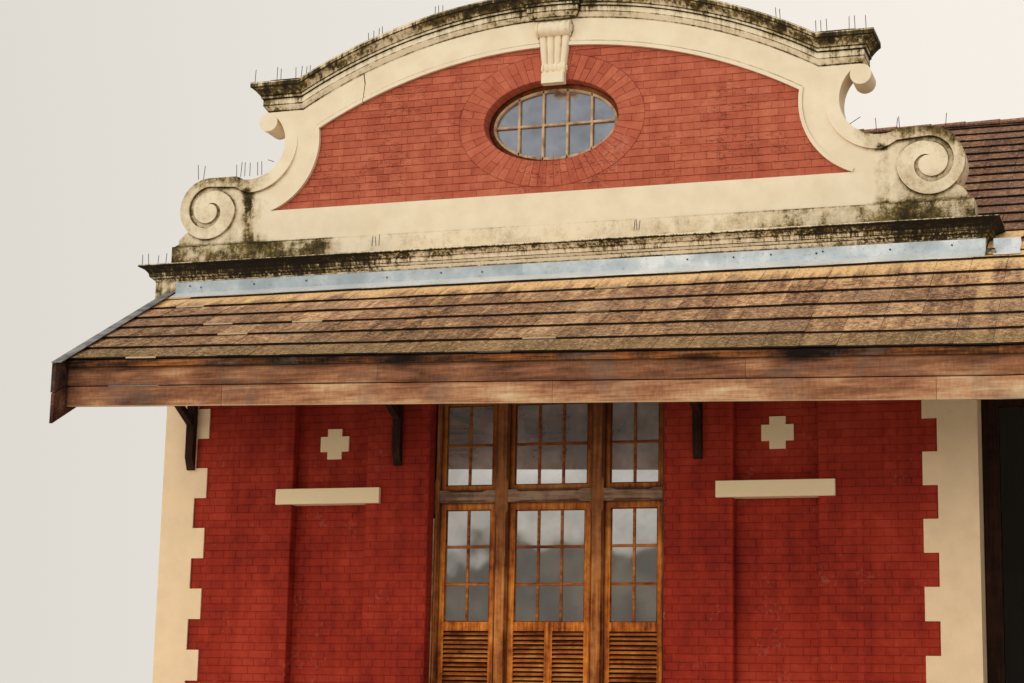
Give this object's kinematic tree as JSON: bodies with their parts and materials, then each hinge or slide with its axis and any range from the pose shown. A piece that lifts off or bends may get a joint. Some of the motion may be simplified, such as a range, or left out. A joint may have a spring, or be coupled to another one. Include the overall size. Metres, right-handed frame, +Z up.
{
  "type": "railway station building",
  "caption": "Brick station pavilion with curved scrolled gable, oval window, quoins, tiled front canopy, panelled door bay with a hinged leaf, and a plain wing; hollow inside.",
  "frame": {"origin": "on the ground under the door sill, in the middle of the pavilion's front wall plane", "axes": "+X to the right along the front, +Y into the building, +Z up"},
  "size_m": [12.745, 10.39, 7.3265],
  "materials": {
    "wall_brick": "painted brickwork",
    "gable_brick": "painted brickwork, weathered",
    "plain_brick": "painted brickwork",
    "render": "painted render with mould",
    "roof_tile": "weathered clay tiles",
    "eave_board": "worn stained boards",
    "dark_wood": "dark stained timber",
    "door_wood": "varnished",
    "frame_wood": "weathered varnish",
    "window_paint": "cream paint",
    "pane": "clear glass",
    "zinc": "weathered sheet",
    "floor_stone": "plain",
    "iron": "painted"
  },
  "bodies": {
    "root": {"front_wall_left": "wall_brick", "front_wall_right": "wall_brick", "front_wall_over_door": "wall_brick", "side_wall_left": "plain_brick", "back_wall": "plain_brick", "wing_back_wall": "plain_brick", "wing_front_wall": "plain_brick", "wing_wall_over_door": "plain_brick", "end_wall": "plain_brick", "floor": "floor_stone", "door_sill": "floor_stone", "pavilion_roof_left": "roof_tile", "pavilion_roof_right": "roof_tile", "pavilion_ridge": "roof_tile", "wing_roof_front": "roof_tile", "wing_roof_back": "roof_tile", "wing_ridge": "roof_tile", "frieze": "render", "main_cornice": "render", "gable_plinth": "render", "gable_scroll_left": "render", "gable_scroll_right": "render", "gable_wall": "gable_brick", "oval_frame": "window_paint", "oval_glass": "pane", "gable_arch": "render", "arch_cornice": "render", "keystone": "render", "field_edge": "render", "quoins": "render", "panel_bars": "render", "panel_crosses": "render", "door_frame": "frame_wood", "side_leaves": "door_wood", "side_leaf_glass": "pane", "hinges_frame_half": "iron", "upper_lights": "frame_wood", "upper_light_glass": "pane", "wing_door_frame": "dark_wood", "canopy_deck": "roof_tile", "fascia_upper": "eave_board", "fascia_lower": "eave_board", "barge_boards": "eave_board", "verge_cappings": "zinc", "flashing": "zinc", "canopy_beam": "dark_wood", "brackets": "dark_wood", "wing_brackets": "dark_wood"},
    "leaf": {"door_leaf": "door_wood", "door_leaf_glass": "pane", "hinges_leaf_half": "iron"}
  },
  "joints": [
    {"name": "door_hinge", "type": "hinge", "parent": "root", "child": "leaf", "pos_m": [-0.4205, 0.26, 1.2], "axis": [0, 0, 1], "range_deg": [0, 95]}
  ]
}
